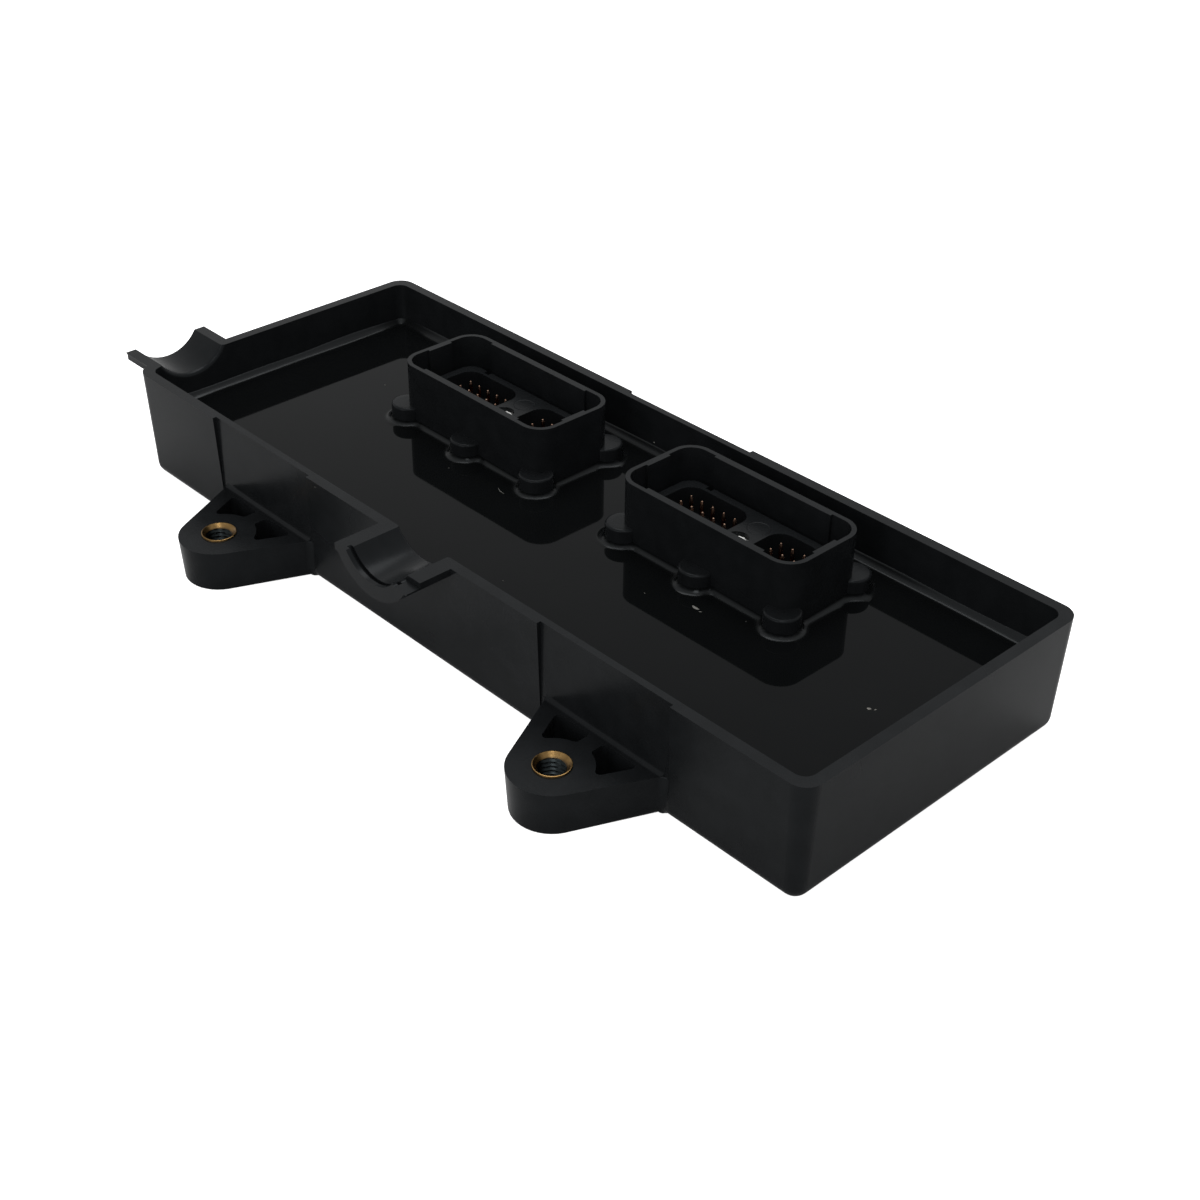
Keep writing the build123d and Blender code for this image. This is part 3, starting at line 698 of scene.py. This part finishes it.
# Jackscrew nuts: turned steel nuts, zinc plated, pressed into the header between its pockets. The
# plug's long screw pulls it down into them.
bright_plate = new_material("bright_plate")
turned_metal(
    bright_plate,
    colour=(0.90, 0.90, 0.88),
    dull=(0.68, 0.68, 0.66),
    roughness=(0.12, 0.30),
    line_pitch=0.00012,
    line_depth=0.000003,
)
for node in ("jackscrew_nut_left", "jackscrew_nut_right"):
    low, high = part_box(node)
    nut = surface(
        node + "_threaded",
        threaded_bush(
            (low + high) / 2,
            low.z,
            high.z,
            outer=0.0031,
            core=0.0021,
            depth=0.0004,
            pitch=0.0008,
            chamfer=0.0003,
            edge=0.0002,
        ),
        bright_plate,
        close_u=True,
        close_v=True,
    )
    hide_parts(node)

# Pieces sealed under the compound: laminate board, chips, cans and screws. Nothing of them shows,
# and each keeps its solid with the finish such a piece has.
sealed_finishes = {
    "board_laminate": {
        "colour": (0.02, 0.14, 0.05),
        "pale": (0.03, 0.19, 0.07),
        "grain_size": 0.0008,
        "roughness": (0.25, 0.4),
    },
    "chip_resin": {
        "colour": (0.010, 0.010, 0.011),
        "pale": (0.020, 0.020, 0.021),
        "grain_size": 0.0002,
        "roughness": (0.55, 0.7),
    },
    "fired_ceramic": {
        "colour": (0.42, 0.31, 0.19),
        "pale": (0.50, 0.39, 0.26),
        "grain_size": 0.0003,
        "roughness": (0.35, 0.5),
    },
}
sealed_pieces = {
    "board_laminate": ("circuit_board",),
    "chip_resin": (
        "microcontroller",
        "memory_chip",
        "driver_chips",
        "bus_transceivers",
        "voltage_regulator",
        "power_transistors",
        "surge_diodes",
        "power_inductor",
        "bus_choke",
    ),
    "fired_ceramic": ("shunt_resistors", "ceramic_capacitors"),
}
for name, values in sealed_finishes.items():
    finish = new_material(name)
    plastic_skin(finish, grain_depth=0.00002, **values)
    for node in sealed_pieces[name]:
        finish_solid(node, finish)
drawn_can = new_material("drawn_can")
turned_metal(
    drawn_can,
    colour=(0.80, 0.81, 0.83),
    dull=(0.66, 0.67, 0.69),
    roughness=(0.25, 0.40),
    line_pitch=0.0003,
    line_depth=0.000004,
)
for node in ("bulk_capacitors", "clock_crystal"):
    finish_solid(node, drawn_can)
for node in ("board_screws", "header_screws_left", "header_screws_right"):
    finish_solid(node, bright_plate)

# Floor: a pale paper sweep under soft studio light. It shows white to the camera, and keeps the
# soft shadow of the part.
paper = new_material("paper_floor")
tree = paper.node_tree
sheet = tree.nodes["Principled BSDF"]
sheet.inputs["Base Color"].default_value = (0.66, 0.66, 0.66, 1)
sheet.inputs["Roughness"].default_value = 0.9
sheet.inputs["Specular IOR Level"].default_value = 0.1
rays = tree.nodes.new("ShaderNodeLightPath")
seen = tree.nodes.new("ShaderNodeMath")
seen.operation = "MULTIPLY"
seen.inputs[1].default_value = 0.9
tree.links.new(rays.outputs["Is Camera Ray"], seen.inputs[0])
sheet.inputs["Emission Color"].default_value = (1, 1, 1, 1)
tree.links.new(seen.outputs["Value"], sheet.inputs["Emission Strength"])
half_width, floor_level = 6.0, -0.0001
across = np.linspace(-half_width, half_width, 3)
x, y = np.meshgrid(across, across)
floor_mesh = bpy.data.meshes.new("floor")
floor_mesh.from_pydata(
    np.stack([x, y, np.full_like(x, floor_level)], -1).reshape(-1, 3),
    [],
    [(0, 1, 4, 3), (1, 2, 5, 4), (3, 4, 7, 6), (4, 5, 8, 7)],
)
floor_mesh.materials.append(paper)
floor = bpy.data.objects.new("floor", floor_mesh)
bpy.context.scene.collection.objects.link(floor)

# Light: a wide soft box hangs high behind the part, so its walls shade the floor in front of them,
# with two weaker boxes before it and an even pale surrounding. The surrounding is a little weaker
# as light than as seen by the camera and in mirroring faces.
world = bpy.data.worlds.new("studio")
bpy.context.scene.world = world
world.use_nodes = True
tree = world.node_tree
surround = tree.nodes["Background"]
surround.inputs["Color"].default_value = (1, 1, 1, 1)
rays = tree.nodes.new("ShaderNodeLightPath")
glossy = tree.nodes.new("ShaderNodeMath")
glossy.operation = "MAXIMUM"
tree.links.new(rays.outputs["Is Glossy Ray"], glossy.inputs[0])
tree.links.new(rays.outputs["Is Transmission Ray"], glossy.inputs[1])
shown = tree.nodes.new("ShaderNodeMath")
shown.operation = "MAXIMUM"
tree.links.new(rays.outputs["Is Camera Ray"], shown.inputs[0])
tree.links.new(glossy.outputs["Value"], shown.inputs[1])
strength = tree.nodes.new("ShaderNodeMapRange")
strength.inputs["To Min"].default_value = 0.68
strength.inputs["To Max"].default_value = 1.0
tree.links.new(shown.outputs["Value"], strength.inputs["Value"])
tree.links.new(strength.outputs["Result"], surround.inputs["Strength"])


def soft_box(name, place, target, size, power):
    """Square area lamp at place, facing target."""
    lamp = bpy.data.lights.new(name, "AREA")
    lamp.size = size
    lamp.energy = power
    piece = bpy.data.objects.new(name, lamp)
    place, target = np.array(place, float), np.array(target, float)
    back = (place - target) / np.linalg.norm(place - target)
    right = np.cross((0, 0, 1), back)
    right /= np.linalg.norm(right)
    above = np.cross(back, right)
    turned = np.eye(4)
    turned[:3, 0], turned[:3, 1], turned[:3, 2], turned[:3, 3] = right, above, back, place
    piece.matrix_world = Matrix(turned.tolist())
    bpy.context.scene.collection.objects.link(piece)
    return piece


part_middle = (0, 0, 0.02)
soft_box("overhead_box", (0.50, -0.46, 1.0), part_middle, size=0.34, power=2.6)
soft_box("back_box", (-0.30, 0.32, 1.15), part_middle, size=0.7, power=7.8)
soft_box("front_box", (0.15, -1.0, 0.40), part_middle, size=0.6, power=3.0)

# Camera: its place, its turn and its 54.84 mm lens on a 36 mm frame were solved from the corners of
# the tray and of both headers in the photograph.
lens = bpy.data.cameras.new("photo_camera")
lens.lens = 54.84
lens.sensor_width = 36.0
lens.clip_start = 0.01
camera_place = (0.31550, -0.28625, 0.28009)
azimuth, elevation, roll = np.radians((46.292, 33.807, 0.846))
ahead = np.array([
    -np.sin(azimuth) * np.cos(elevation), np.cos(azimuth) * np.cos(elevation), -np.sin(elevation)
])
right = np.cross(ahead, (0, 0, 1))
right /= np.linalg.norm(right)
above = np.cross(right, ahead)
turned = np.eye(4)
turned[:3, 0] = right * np.cos(roll) + above * np.sin(roll)
turned[:3, 1] = above * np.cos(roll) - right * np.sin(roll)
turned[:3, 2] = -ahead
turned[:3, 3] = camera_place
camera = bpy.data.objects.new("photo_camera", lens)
camera.matrix_world = Matrix(turned.tolist())
bpy.context.scene.collection.objects.link(camera)
bpy.context.scene.camera = camera
bpy.context.scene.view_settings.view_transform = "Standard"
